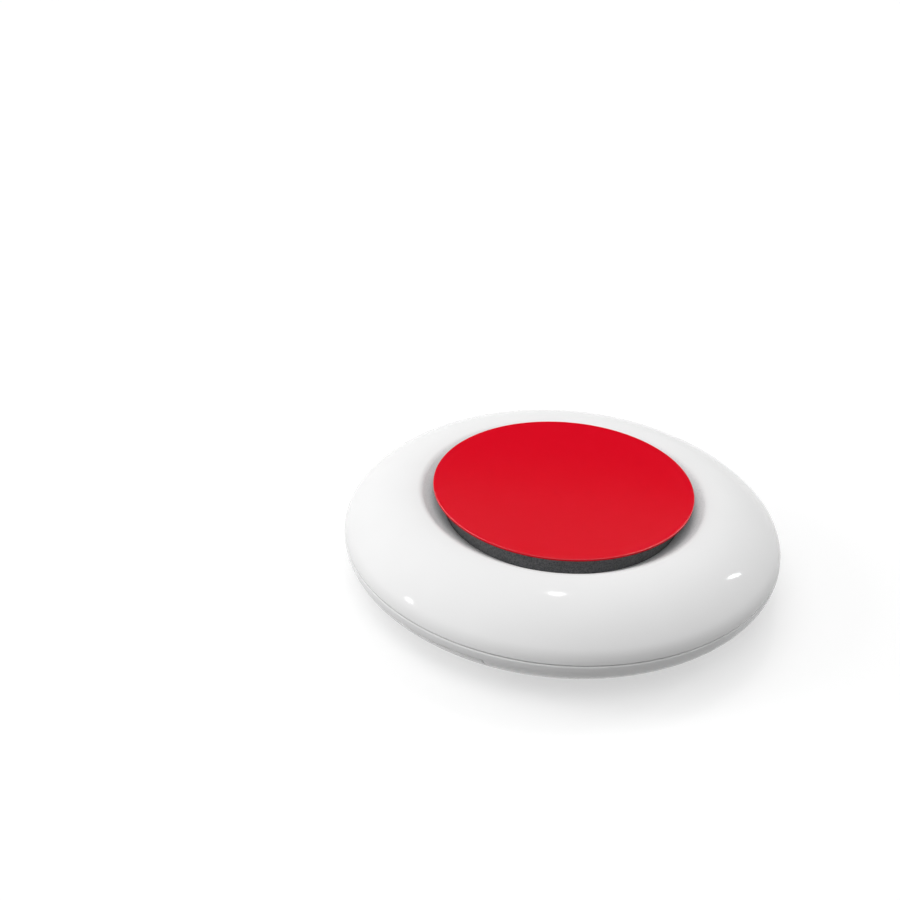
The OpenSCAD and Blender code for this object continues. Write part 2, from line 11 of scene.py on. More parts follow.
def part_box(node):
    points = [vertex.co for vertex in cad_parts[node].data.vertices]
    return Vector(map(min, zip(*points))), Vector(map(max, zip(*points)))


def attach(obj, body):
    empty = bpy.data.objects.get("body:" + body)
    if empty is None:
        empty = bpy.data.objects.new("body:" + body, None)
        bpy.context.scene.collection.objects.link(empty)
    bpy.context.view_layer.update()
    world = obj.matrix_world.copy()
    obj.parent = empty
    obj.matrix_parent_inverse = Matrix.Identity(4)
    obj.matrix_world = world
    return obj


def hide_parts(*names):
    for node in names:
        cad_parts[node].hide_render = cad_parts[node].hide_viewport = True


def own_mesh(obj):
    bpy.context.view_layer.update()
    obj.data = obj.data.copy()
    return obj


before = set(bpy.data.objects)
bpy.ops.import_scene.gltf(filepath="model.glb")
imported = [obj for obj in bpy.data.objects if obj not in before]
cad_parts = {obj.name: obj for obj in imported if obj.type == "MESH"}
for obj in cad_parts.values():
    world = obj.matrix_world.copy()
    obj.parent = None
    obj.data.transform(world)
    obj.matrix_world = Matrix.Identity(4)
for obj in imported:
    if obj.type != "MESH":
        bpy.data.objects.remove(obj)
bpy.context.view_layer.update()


# sizes read from the frame
def node_box(node):
    low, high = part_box(node)
    return low * 1000, high * 1000


TOP_LOW, TOP_HIGH = node_box("top_shell")
BOTTOM_HIGH = node_box("bottom_shell")[1]
CAP_LOW, CAP_HIGH = node_box("red_cap")
FILM_HIGH = node_box("cap_film")[1]
PLUNGER_LOW, PLUNGER_HIGH = node_box("plunger")
COVER_HIGH = node_box("battery_cover")[1]
BOARD_LOW, BOARD_HIGH = node_box("circuit_board")
CELL_LOW, CELL_HIGH = node_box("cell_can")
LID_HIGH = node_box("cell_lid")[1]
SCREW_LOW, SCREW_HIGH = node_box("shell_screws")
STEM_HIGH = node_box("switch_stem")[1]
SPRINGS_LOW, SPRINGS_HIGH = node_box("return_springs")

BODY_R = BOTTOM_HIGH.x
WAIST_Z = BOARD_HIGH.z
# the photographed crown carries on a little higher, up to the roll of the dish
CREST_RISE = 0.4
CREST_Z = TOP_HIGH.z + CREST_RISE
CAP_R = CAP_HIGH.x
DISC_R = COVER_HIGH.x
DOOR_Z = COVER_HIGH.z
BOARD_R = BOARD_HIGH.x

# a joined solid sinks in this far
LAP = 0.1
# a cutter runs this far past what it cuts
PAST = 1.0
# snug pieces stay this far apart
SNUG = 0.05
# a reach beyond every piece
FAR = 60.0

# both shells
WALL = 1.8
SEAM_GAP = 0.25
SEAM_Z = TOP_LOW.z - SEAM_GAP / 2
SEAM_LIP_R = 0.16
# the lip at the seam stops this many degrees short, and the outline starts this many later
SEAM_LIP_SHORT = 4
SEAM_LIP_TURN = 2.5
TONGUE_H = 1.2
TONGUE_T = 1.0
TONGUE_GAP = 0.1
TONGUE_R = BODY_R - 1.25

# top shell, from the widest circle in
TOP_EDGE_R = 4.1
CREST_R = BODY_R - 13.3
DISH_R = CREST_R - 0.1
LIP_R = 2.0
DISH_Z = TOP_HIGH.z - 2.8
HOLE_LIP_R = 0.1
# the inside of the shell starts this many degrees after the seam
INSIDE_TURN = 4

# button
CAP_RIM_R = 0.15
CAP_FOOT_R = 0.1
CAP_SIDE_H = 0.42
CAP_BEVEL = 1.0
SKIRT_R = FILM_HIGH.x + 0.5
SKIRT_T = 1.5
HOLE_R = SKIRT_R + 0.2
FLANGE_R = SKIRT_R + 1.3
FLANGE_T = 0.95
SKIRT_LIP_R = 0.2
KEY_W = 1.6
KEY_IN = 0.7
KEY_OUT = 1.3
KEY_GAP = 0.25
KEYS = 3
RIB_T = 1.2
PUSHER_R = STEM_HIGH.x + 0.8
PUSHER_H = 0.6
TRAVEL = 1.2

# bottom shell
LOW_EDGE_R = 4.2
BELLY_R = BODY_R - 12.3
PLATE_T = 1.6
BELLY_Z = PLATE_T - 0.1
FLOOR_Z = PLATE_T + 0.2
FLOOR_TOP = FLOOR_Z + 1.4
OPENING_R = DISC_R + 0.2
OPENING_FOOT = (0.6, 0.4)
RIDGE_R = OPENING_R + 1.1
# the soft valley between the ridge and the opening: steps inwards and their depths
VALLEY = ((0.18, 0.02), (0.34, 0.12), (0.52, 0.3), (0.72, 0.5), (0.95, 0.62), (1.1, 0.66))
SEAT_T = 1.2
SEAT_R = BELLY_R - 2

# battery cover
REST_R = DISC_R - 2.2
PLATE_ROUND = 1.2
DOOR_T = 1.6
DOOR_GAP = 0.2
DOOR_W = 2 * (DISC_R - 11.7)
SEAM_ROUND = 0.14
DOOR_HOLLOW = 0.55
FINGER_W = 9.6
FINGER_END = 12.6
FINGER_ROOT = 1.9
SLIT_W = 0.65
SLIT_R = 1.6
SLOT_L = 4.2
SLOT_W = 2.5
SLOT_AT = DISC_R - 6.9
SLOT_ROOM = 0.5
SLOT_DEEP = 1.0
SLOT_ROUND = 0.15
# each stripe of the arrow lies between two distances from the middle, towards the door
ARROW_ROWS = ((11.3, 12.55), (14.5, 15.75), (17.6, 20.7))
ARROW_TIP = 20.7
ARROW_SLOPE = 0.575
ARROW_DEEP = 0.35
ARROW_ROUND = 0.12
# how far the mouth of each cut in the cover flares, and how far the foot of the arrow's does
CUT_FLARE = 0.12
ARROW_FLARE = 0.1
ARROW_FOOT = 0.08

# hooks of the cover and their tracks
HOOK_X = DOOR_W / 2 - 2.9
HOOK_T = 1.0
HOOK_REACH = 1.4
HOOK_H = 0.6
HOOK_L = 6.0
HOOKS_Y = (-14.0, 8.0)
HOOK_TOP = FLOOR_TOP - SNUG
TRACK_GAP = 0.3
KEEPER_GAP = 0.15
KEEPER_H = HOOK_TOP - HOOK_H - KEEPER_GAP - SNUG - FLOOR_Z
ROOF_T = 1.1

# battery bay, bosses and posts
CELL_TOP = LID_HIGH.z
BAY_R = CELL_HIGH.x + 0.3
BAY_T = 1.2
BAY_ROOM = 0.3
LEAF_W = 4.0
LEAF_ROOM = 0.6
BOSS_R = 2.4
BOSS_SPLIT = BOARD_LOW.z - 0.2
SCREW_HEAD_R = 2.0
SCREW_HEAD_Z = SCREW_LOW.z + 1.3
SCREW_X = SCREW_HIGH.x - SCREW_HEAD_R
SCREW_Y = SCREW_HIGH.y - SCREW_HEAD_R
SCREW_R = 1.0
SCREW_ROOM = 0.5
SCREW_HEAD_ROOM = 0.3
SCREW_SHANK_ROOM = 0.25
POST_R = 2.4
POST_AT = BOARD_R - 7
POST_TURNS = (-90, 60, 120)
BOARD_SCREW_R = 0.9
BOARD_SCREW_H = 4.5
SPRING_AT = SPRINGS_HIGH.x - 2.5
SPRING_SEAT_Z = WAIST_Z + 0.3
SPRING_POST_R = 2.9
SPRING_PIN_R = 1.7
SPRING_PIN_H = 1.4

# meshing: turned forms are this fine, small round ones need less
TURNS = 288
SMALL_TURNS = 48
ARC_STEP = 2.0
CROWN_STEP = 1.0


def big_radius(edge, inward, height):
    """Radius of the big arc that rolls on from an edge arc to a level line."""
    return (height**2 + inward**2 - edge**2) / (2 * (height - edge))


TOP_CROWN_R = big_radius(TOP_EDGE_R, BODY_R - TOP_EDGE_R - CREST_R, CREST_Z - WAIST_Z)
TOP_DROP = TOP_CROWN_R - CREST_Z + WAIST_Z
TOP_BLEND = math.degrees(math.atan2(TOP_DROP, BODY_R - TOP_EDGE_R - CREST_R))
LOW_CROWN_R = big_radius(LOW_EDGE_R, BODY_R - LOW_EDGE_R - BELLY_R, WAIST_Z - BELLY_Z)
LOW_DROP = LOW_CROWN_R - WAIST_Z + BELLY_Z
LOW_BLEND = math.degrees(math.atan2(LOW_DROP, BODY_R - LOW_EDGE_R - BELLY_R))
# slope of the dish: a cone from the edge of the hole that meets the roll smoothly
DISH_RUN = (DISH_R - HOLE_R, CREST_Z - DISH_Z - LIP_R)
DISH_TURN = math.degrees(math.atan2(DISH_RUN[1], DISH_RUN[0]) + math.asin(LIP_R / math.hypot(*DISH_RUN)))
SLOPE_TURN = math.degrees(math.atan2(PLATE_T, DISC_R - REST_R))


# outlines, as points of radius and height
def arc(x, z, r, start, end, step=ARC_STEP):
    count = max(2, math.ceil(abs(end - start) / step))
    turns = [math.radians(start + (end - start) * i / count) for i in range(count + 1)]
    return [(x + r * math.cos(t), z + r * math.sin(t)) for t in turns]


def seam_turn(edge_r, z):
    """Angle on an edge arc, above the waist, at a height."""
    return math.degrees(math.asin((z - WAIST_Z) / edge_r))


def top_outline(off, start):
    return (
        arc(BODY_R - TOP_EDGE_R, WAIST_Z, TOP_EDGE_R - off, start, TOP_BLEND)
        + arc(CREST_R, WAIST_Z - TOP_DROP, TOP_CROWN_R - off, TOP_BLEND, 90, CROWN_STEP)
        + arc(DISH_R, CREST_Z - LIP_R, LIP_R - off, 90, 90 + DISH_TURN)
    )


def low_outline(off, start):
    return (
        arc(BODY_R - TOP_EDGE_R, WAIST_Z, TOP_EDGE_R - off, start, 1)
        + arc(BODY_R - LOW_EDGE_R, WAIST_Z, LOW_EDGE_R - off, 0, -LOW_BLEND)
        + arc(BELLY_R, WAIST_Z + LOW_DROP, LOW_CROWN_R - off, -LOW_BLEND, -90, CROWN_STEP)
    )


def belly_height(r):
    """Height of the bottom shell's outside at a radius."""
    if r <= BELLY_R:
        return BELLY_Z
    edge_x = BODY_R - LOW_EDGE_R
    if r < BELLY_R + LOW_CROWN_R * math.cos(math.radians(LOW_BLEND)):
        return WAIST_Z + LOW_DROP - math.sqrt(LOW_CROWN_R**2 - (r - BELLY_R) ** 2)
    return WAIST_Z - math.sqrt(max(0.0, LOW_EDGE_R**2 - (r - edge_x) ** 2))


def tidy_path(points, least=0.004):
    """Drops a point that lies on the one before it."""
    kept = []
    for point in points:
        if not kept or math.dist(point, kept[-1]) > least:
            kept.append(point)
    if math.dist(kept[0], kept[-1]) <= least:
        kept.pop()
    return kept


# solids
def new_piece(name, bm):
    bmesh.ops.recalc_face_normals(bm, faces=bm.faces)
    bmesh.ops.scale(bm, vec=(0.001, 0.001, 0.001), verts=bm.verts)
    mesh = bpy.data.meshes.new(name)
    bm.to_mesh(mesh)
    bm.free()
    piece = bpy.data.objects.new(name, mesh)
    bpy.context.scene.collection.objects.link(piece)
    return piece


def turned(name, outline, turns=TURNS, x=0.0, y=0.0):
    """Solid of revolution of a closed outline; a point on the axis becomes one vertex."""
    bm = bmesh.new()
    rings = []
    for r, z in tidy_path(outline):
        if r < 1e-6:
            rings.append([bm.verts.new((x, y, z))] * turns)
            continue
        angles = [math.tau * i / turns for i in range(turns)]
        rings.append([bm.verts.new((x + r * math.cos(t), y + r * math.sin(t), z)) for t in angles])
    for low, high in zip(rings, rings[1:] + rings[:1]):
        for i in range(turns):
            j = (i + 1) % turns
            corners = list(dict.fromkeys((low[i], low[j], high[j], high[i])))
            if len(corners) > 2:
                bm.faces.new(corners)
    return new_piece(name, bm)


def rod(r, low, high, x=0.0, y=0.0, turns=SMALL_TURNS):
    return turned("rod", [(0, low), (r, low), (r, high), (0, high)], turns, x, y)


def hoop(r_in, r_out, low, high, turns=TURNS):
    return turned("hoop", [(r_in, low), (r_out, low), (r_out, high), (r_in, high)], turns)


def block(x_low, x_high, y_low, y_high, z_low, z_high):
    bm = bmesh.new()
    centre = Vector(((x_low + x_high) / 2, (y_low + y_high) / 2, (z_low + z_high) / 2))
    size = Vector((x_high - x_low, y_high - y_low, z_high - z_low, 1))
    bmesh.ops.create_cube(bm, size=1.0, matrix=Matrix.Translation(centre) @ Matrix.Diagonal(size))
    return new_piece("block", bm)


def slab(width, length, low, high, x=0.0, y=0.0):
    return block(x - width / 2, x + width / 2, y - length / 2, y + length / 2, low, high)


def apply_modifiers(piece):
    graph = bpy.context.evaluated_depsgraph_get()
    mesh = bpy.data.meshes.new_from_object(piece.evaluated_get(graph))
    piece.modifiers.clear()
    old = piece.data
    piece.data = mesh
    bpy.data.meshes.remove(old)


def combine(base, tool, how):
    """Joins, cuts or keeps a solid with another, which is used up."""
    modifier = base.modifiers.new("solid", "BOOLEAN")
    modifier.operation = how
    modifier.solver = "MANIFOLD"
    modifier.object = tool
    apply_modifiers(base)
    bpy.data.meshes.remove(tool.data)
    return base


def join(base, *tools):
    for tool in tools:
        combine(base, tool, "UNION")
    return base


def cut(base, *tools):
    for tool in tools:
        combine(base, tool, "DIFFERENCE")
    return base


def keep(base, *tools):
    for tool in tools:
        combine(base, tool, "INTERSECT")
    return base


def corners(x, y):
    return [(sx * x, sy * y) for sx in (-1, 1) for sy in (-1, 1)]


def around(turns, r):
    return [(r * math.cos(math.radians(t)), r * math.sin(math.radians(t))) for t in turns]


def slot_places():
    return [(SLOT_AT, 0), (-SLOT_AT, 0), (0, SLOT_AT)]


# outlines on the flat of the cover, grown outwards by an amount
def rounded(points, radius):
    """Convex outline, anticlockwise, with its corners rounded."""
    lines = []
    for a, b in zip(points, points[1:] + points[:1]):
        along = (Vector(b) - Vector(a)).normalized()
        inward = Vector((-along.y, along.x))
        lines.append((Vector(a) + inward * radius, along))
    centres = []
    for (p, u), (q, v) in zip(lines[-1:] + lines[:-1], lines):
        across = u.x * v.y - u.y * v.x
        reach = ((q - p).x * v.y - (q - p).y * v.x) / across
        centres.append((p + u * reach, u, v))

    def outline(off):
        found = []
        for centre, u, v in centres:
            start = math.degrees(math.atan2(-u.x, u.y))
            sweep = math.degrees(u.angle(v))
            found += arc(centre.x, centre.y, radius + off, start, start + sweep, sweep / 6)
        return found

    return outline


def box_outline(width, length, radius, x=0.0, y=0.0):
    w, h = width / 2, length / 2
    return rounded([(x - w, y - h), (x + w, y - h), (x + w, y + h), (x - w, y + h)], radius)


def slit_outline(off):
    """The slit round the finger: a U open towards -Y."""

    def bend(width, radius):
        w, top = FINGER_W / 2 + width, FINGER_END + width
        right = arc(w - radius, top - radius, radius, 0, 90, 7.5)
        left = arc(radius - w, top - radius, radius, 90, 180, 7.5)
        return [(w, -FINGER_ROOT - off)] + right + left + [(-w, -FINGER_ROOT - off)]

    return bend(SLIT_W + off, SLIT_R + SLIT_W + off) + bend(-off, SLIT_R - off)[::-1]


def flared_cutter(outline, depth, flare, foot=0.0):
    """Cutter from below: its mouth flares, so that the edge it leaves is rounded."""
    layers = [(-PAST, flare), (0.0, flare)]
    for turn in (22.5, 45.0, 67.5, 90.0):
        t = math.radians(turn)
        layers.append((flare - flare * math.cos(t), flare - flare * math.sin(t)))
    if foot:
        for turn in (0.0, 30.0, 60.0, 90.0):
            t = math.radians(turn)
            layers.append((depth - foot + foot * math.sin(t), foot * math.cos(t) - foot))
    else:
        layers.append((depth, 0.0))
    bm = bmesh.new()
    rings = [[bm.verts.new((x, y, z)) for x, y in outline(off)] for z, off in layers]
    count = len(rings[0])
    for low, high in zip(rings, rings[1:]):
        for i in range(count):
            j = (i + 1) % count
            bm.faces.new((low[i], low[j], high[j], high[i]))
    bm.faces.new(rings[0][::-1])
    bm.faces.new(rings[-1])
    return new_piece("cutter", bm)


def score(piece, planes):
    """Adds rows of vertices where planes cross a piece, for a rounding that follows."""
    bm = bmesh.new()
    bm.from_mesh(piece.data)
    for place, normal in planes:
        everything = bm.verts[:] + bm.edges[:] + bm.faces[:]
        bmesh.ops.bisect_plane(
            bm, geom=everything, dist=1e-8, plane_co=Vector(place) / 1000, plane_no=normal
        )
    bm.to_mesh(piece.data)
    bm.free()


ROUNDING_ROWS = (0.1, 0.3, 0.6, 1.0)


def seam_planes(half_width, top, side):
    """Planes along the door's seams; side is 1 on the shell round the door and -1 on the door."""
    planes = []
    for share in ROUNDING_ROWS:
        step = side * SEAM_ROUND * share
        planes += [((half_width + step, 0, 0), (1, 0, 0)), ((-half_width - step, 0, 0), (1, 0, 0))]
        planes.append(((0, 0, top + step), (0, 0, 1)))
    return planes


def arc_centre(r):
    """Centre of the bottom outline's arc at a radius."""
    if r < BELLY_R + LOW_CROWN_R * math.cos(math.radians(LOW_BLEND)):
        return BELLY_R, WAIST_Z + LOW_DROP
    return BODY_R - LOW_EDGE_R, WAIST_Z


def round_seams(piece, half_width, top, side, r_low):
    """Rounds the edges of the door's seams on the outside of a piece."""
    for vertex in piece.data.vertices:
        x, y, z = vertex.co * 1000
        r = math.hypot(x, y)
        if y > 0 or r < r_low or z > WAIST_Z or abs(z - belly_height(r)) > 0.02:
            continue
        across, above = abs(x) - half_width, z - top
        if side < 0:
            near = min(-across, -above)
        elif min(across, above) > 0:
            near = math.hypot(across, above)
        else:
            near = max(across, above)
        if near > SEAM_ROUND or near < -0.01:
            continue
        sink = SEAM_ROUND - math.sqrt(SEAM_ROUND**2 - (SEAM_ROUND - max(near, 0)) ** 2)
        centre_r, centre_z = arc_centre(r)
        inward = Vector(((centre_r - r) * x / r, (centre_r - r) * y / r, centre_z - z))
        vertex.co += inward.normalized() * sink / 1000


def finish_surface(piece, sharp=32):
    """Smooth shading, broken at real edges."""
    bm = bmesh.new()
    bm.from_mesh(piece.data)
    bmesh.ops.remove_doubles(bm, verts=bm.verts, dist=1e-6)
    bm.to_mesh(piece.data)
    bm.free()
    piece.data.shade_smooth()
    piece.data.set_sharp_from_angle(angle=math.radians(sharp))
    modifier = piece.modifiers.new("even_flats", "WEIGHTED_NORMAL")
    modifier.keep_sharp = True
    apply_modifiers(piece)


# pieces
def make_top_shell():
    low = TOP_LOW.z
    start = seam_turn(TOP_EDGE_R, low)
    lip = arc(BODY_R - TOP_EDGE_R, WAIST_Z, TOP_EDGE_R, start, start)[0]
    lip_path = arc(lip[0] - SEAM_LIP_R, low + SEAM_LIP_R, SEAM_LIP_R, -90, -SEAM_LIP_SHORT, 12)
    outer = top_outline(0, start + SEAM_LIP_TURN)
    slope = math.radians(DISH_TURN)
    hole_lip_z = DISH_Z - HOLE_LIP_R * (1 - math.sin(slope)) / math.cos(slope)
    hole = arc(HOLE_R + HOLE_LIP_R, hole_lip_z, HOLE_LIP_R, 90 + DISH_TURN, 180, 15)
    inner = top_outline(WALL, start + INSIDE_TURN)
    rebate_r = TONGUE_R + TONGUE_GAP
    rebate_z = SEAM_Z + TONGUE_H + 2 * TONGUE_GAP
    shell = turned(
        "top_moulding",
        lip_path + outer + hole + [(HOLE_R, DISH_Z - WALL)] + inner[::-1] + [(inner[0][0], low)],
    )
    for x, y in corners(SCREW_X, SCREW_Y):
        under_dish = [(HOLE_R, DISH_Z - WALL / 3), (0, DISH_Z - WALL / 3)]
        inside = turned("boss_room", [(0, WAIST_Z)] + top_outline(WALL / 3, 1) + under_dish)
        join(shell, keep(rod(BOSS_R, BOSS_SPLIT + SNUG, FAR, x, y), inside))
    key_top = DISH_Z - LAP
    for i in range(KEYS):
        key_r = (FLANGE_R - KEY_IN, FLANGE_R + KEY_OUT)
        key = block(*key_r, -KEY_W / 2, KEY_W / 2, PLUNGER_LOW.z - TRAVEL, key_top)
        key.data.transform(Matrix.Rotation(math.tau * i / KEYS, 4, "Z"))
        join(shell, key)
    cut(shell, rod(rebate_r, WAIST_Z - PAST, rebate_z, turns=TURNS))
    for x, y in corners(SCREW_X, SCREW_Y):
        cut(shell, rod(SCREW_R + SNUG, BOSS_SPLIT - PAST, SCREW_HIGH.z + SCREW_ROOM, x, y))
    return shell


def make_red_cap():
    low, high = CAP_LOW.z, CAP_HIGH.z
    outline = [(0, low), (CAP_R - CAP_BEVEL, low)]
    outline += arc(CAP_R - CAP_FOOT_R, high - CAP_SIDE_H + CAP_FOOT_R, CAP_FOOT_R, -70, 0, 10)
    outline += arc(CAP_R - CAP_RIM_R, high - CAP_RIM_R, CAP_RIM_R, 0, 90, 7.5) + [(0, high)]
    return turned("press_disc", outline)


def make_skirt():
    low, high = PLUNGER_LOW.z, PLUNGER_HIGH.z
    plate_z = high - SKIRT_T
    outline = [(SKIRT_R - SKIRT_T, low), (FLANGE_R, low), (FLANGE_R, low + FLANGE_T)]
    outline.append((SKIRT_R, low + FLANGE_T))
    outline += arc(SKIRT_R - SKIRT_LIP_R, high - SKIRT_LIP_R, SKIRT_LIP_R, 0, 90, 15)
    outline += [(0, high), (0, plate_z), (SKIRT_R - SKIRT_T, plate_z)]
    skirt = turned("press_skirt", outline)
    pusher_z = plate_z - PUSHER_H
    rib_l = 2 * (SKIRT_R - SKIRT_T / 2)
    ribs = join(
        slab(rib_l, RIB_T, plate_z - RIB_T, plate_z + LAP),
        slab(RIB_T, rib_l, plate_z - RIB_T, plate_z + LAP),
    )
    cut(ribs, rod(PUSHER_R + 2 * LAP, low - PAST, pusher_z))
    join(ribs, rod(PUSHER_R, pusher_z, plate_z + LAP))
    join(skirt, ribs)
    for x, y in corners(SPRING_AT, SPRING_AT):
        join(skirt, rod(SPRING_PIN_R, plate_z - SPRING_PIN_H, plate_z + LAP, x, y))
    notch_w = KEY_W / 2 + KEY_GAP
    notch_r = (FLANGE_R - KEY_IN - KEY_GAP, FLANGE_R + KEY_OUT)
    for i in range(KEYS):
        notch = block(*notch_r, -notch_w, notch_w, low - PAST, low + FLANGE_T + SNUG)
        notch.data.transform(Matrix.Rotation(math.tau * i / KEYS, 4, "Z"))
        cut(skirt, notch)
    return skirt


def low_skin(out, inside, start):
    return low_outline(out, start) + low_outline(inside, start)[::-1]


def low_solid(off, start=20):
    path = low_outline(off, start)
    return turned("low_solid", [(0, path[0][1])] + path + [(0, BELLY_Z + off)])


def make_bottom_shell():
    seam_low = SEAM_Z - SEAM_GAP / 2
    start = seam_turn(TOP_EDGE_R, seam_low)
    lip_r = BODY_R - TOP_EDGE_R + TOP_EDGE_R * math.cos(math.radians(start))
    lip = arc(lip_r - SEAM_LIP_R, seam_low - SEAM_LIP_R, SEAM_LIP_R, 90, SEAM_LIP_SHORT, 12)
    # a rounded ridge and a soft valley lead to the opening for the cover's disc
    ridge_z = belly_height(RIDGE_R)
    valley = [(RIDGE_R, ridge_z)]
    valley += [(RIDGE_R - inward, ridge_z + deep) for inward, deep in VALLEY]
    outer = [p for p in low_outline(0, start - SEAM_LIP_TURN) if p[0] > RIDGE_R + SNUG]
    inner = low_outline(WALL, start)
    foot_in, foot_up = OPENING_FOOT
    outline = lip + outer + valley + [(OPENING_R, FLOOR_Z + foot_up), (OPENING_R - foot_in, FLOOR_Z)]
    outline += [(0, FLOOR_Z), (0, FLOOR_TOP), (BELLY_R, FLOOR_TOP)]
    outline += inner[::-1] + [(inner[0][0], seam_low)]
    shell = turned("bottom_moulding", outline)
    pocket_w = DOOR_W + 2 * DOOR_GAP
    pocket_z = DOOR_Z + DOOR_GAP
    score(shell, seam_planes(pocket_w / 2, pocket_z, 1))
    tongue_z = SEAM_Z - SEAM_GAP / 2 + TONGUE_H
    join(shell, hoop(TONGUE_R - TONGUE_T, TONGUE_R, WAIST_Z - PAST, tongue_z))

    # wall behind the door of the cover
    seat_depth = DOOR_T + DOOR_GAP
    seat_top = BELLY_Z + seat_depth + SEAT_T
    seat = turned("seat", low_skin(WALL / 2, seat_depth + SEAT_T, 1))
    join(seat, hoop(SEAT_R - SEAT_T, BELLY_R + 2 * LAP, seat_top - SEAT_T, seat_top))
    join(seat, hoop(SEAT_R - SEAT_T, SEAT_R, FLOOR_Z + LAP, seat_top))
    keep(seat, slab(pocket_w + 2 * SEAT_T, FAR, 0, WAIST_Z, 0, -FAR / 2))
    join(shell, seat)

    # roofs over the hooks' tracks, boxes over the hook slots, the bay, bosses and posts
    track_in, track_out = HOOK_X - TRACK_GAP, HOOK_X + HOOK_T + HOOK_REACH + TRACK_GAP
    roof_z = HOOK_TOP + KEEPER_GAP
    track_end = HOOKS_Y[1] + HOOK_L + TRACK_GAP
    foot = FLOOR_Z + LAP
    for side in (-1, 1):
        x0, x1 = sorted((side * (track_in - ROOF_T), side * (track_out + ROOF_T)))
        join(shell, block(x0, x1, 2 - SEAT_R, track_end + ROOF_T, foot, roof_z + ROOF_T))
    slot_w, slot_l = SLOT_W + 2 * SLOT_ROOM, SLOT_L + 2 * SLOT_ROOM
    slot_top = FLOOR_TOP + SLOT_DEEP
    for x, y in slot_places():
        join(shell, slab(slot_w + 2 * ROOF_T, slot_l + 2 * ROOF_T, foot, slot_top + ROOF_T, x, y))
    join(shell, rod(BAY_R + BAY_T, foot, CELL_TOP, turns=TURNS // 2))
    for x, y in corners(SCREW_X, SCREW_Y):
        join(shell, rod(BOSS_R + ROOF_T, foot, BOSS_SPLIT, x, y))
    for x, y in corners(SPRING_AT, SPRING_AT):
        join(shell, rod(SPRING_POST_R, foot, SPRING_SEAT_Z, x, y))
        join(shell, rod(SPRING_PIN_R, foot, SPRING_SEAT_Z + SPRING_PIN_H, x, y))
    for x, y in around(POST_TURNS, POST_AT):
        join(shell, rod(POST_R, foot, BOARD_LOW.z, x, y))

    # pocket for the door
    pocket = slab(pocket_w, FAR, -PAST, pocket_z, 0, -FAR / 2)
    cut(pocket, low_solid(seat_depth), rod(SEAT_R, -2 * PAST, FAR, turns=TURNS))
    cut(shell, pocket)

    # tracks for the hooks, with the keepers left standing
    for side in (-1, 1):
        x0, x1 = sorted((side * track_in, side * track_out))
        track = block(x0, x1, -FAR, track_end, FLOOR_Z - PAST, roof_z)
        for y in HOOKS_Y:
            x0, x1 = sorted((side * (HOOK_X + HOOK_T + KEEPER_GAP), side * FAR))
            cut(track, block(x0, x1, y, y + HOOK_L, FLOOR_Z - 2 * PAST, FLOOR_Z + KEEPER_H))
        cut(shell, track)
    for x, y in slot_places():
        cut(shell, slab(slot_w, slot_l, -PAST, slot_top, x, y))
    bay_top = CELL_TOP + BAY_ROOM
    cut(shell, rod(BAY_R, -PAST, bay_top, turns=TURNS // 2))
    leaf_way = LEAF_W / 2 + LEAF_ROOM
    bay_side = (-BAY_R - BAY_T - PAST, -BAY_T - PAST)
    cut(shell, block(*bay_side, -leaf_way, leaf_way, FLOOR_TOP + BAY_ROOM, bay_top))
    for x, y in corners(SCREW_X, SCREW_Y):
        cut(shell, rod(SCREW_HEAD_R + SCREW_HEAD_ROOM, -PAST, SCREW_HEAD_Z, x, y))
        cut(shell, rod(SCREW_R + SCREW_SHANK_ROOM, -PAST, FAR, x, y))
    for x, y in around(POST_TURNS, POST_AT):
        cut(shell, rod(BOARD_SCREW_R + SNUG, WAIST_Z - BOARD_SCREW_H, FAR, x, y))
    round_seams(shell, pocket_w / 2, pocket_z, 1, RIDGE_R - 0.01)
    return shell


def curve(start, knee, end, count=8):
    """Points on a smooth curve that leaves start and reaches end, both towards the knee."""
    found = []
    for i in range(count + 1):
        t = i / count
        x, z = ((1 - t) ** 2 * a + 2 * t * (1 - t) * b + t**2 * c for a, b, c in zip(start, knee, end))
        found.append((x, z))
    return found


